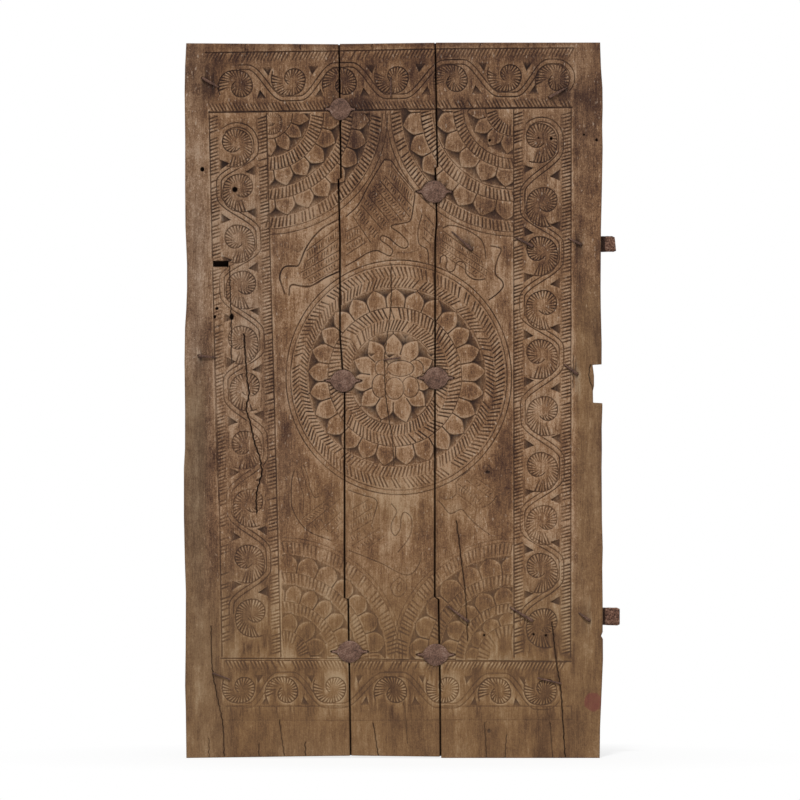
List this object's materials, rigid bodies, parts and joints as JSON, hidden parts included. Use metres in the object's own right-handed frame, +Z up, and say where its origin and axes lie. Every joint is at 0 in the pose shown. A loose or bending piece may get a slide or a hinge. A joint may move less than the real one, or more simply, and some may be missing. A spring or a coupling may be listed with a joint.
{
  "type": "carved temple door leaf",
  "caption": "Old carved wooden door leaf: upright planks held by iron joint clamps and rear battens, with scroll borders, corner rosettes and a round petalled medallion.",
  "frame": {"origin": "middle of the leaf's own box in plan, with its batten ends, at the level of its foot", "axes": "+X across the leaf towards the batten ends, +Y from the carved face to the back, +Z up"},
  "size_m": [1.0476, 0.091, 1.7179],
  "materials": {
    "plank_wood": "old weathered hardwood, dry and dull",
    "batten_wood": "rough red-brown hardwood",
    "iron": "forged iron, brown and pitted with rust"
  },
  "bodies": {
    "root": {"plank_left": "plank_wood", "plank_middle": "plank_wood", "plank_right": "plank_wood", "batten_upper": "batten_wood", "batten_lower": "batten_wood", "clamps_left_joint": "iron", "clamps_right_joint": "iron", "nails_upper_batten": "iron", "nails_lower_batten": "iron", "nails_plank": "iron", "crack_staples": "iron"}
  },
  "joints": []
}
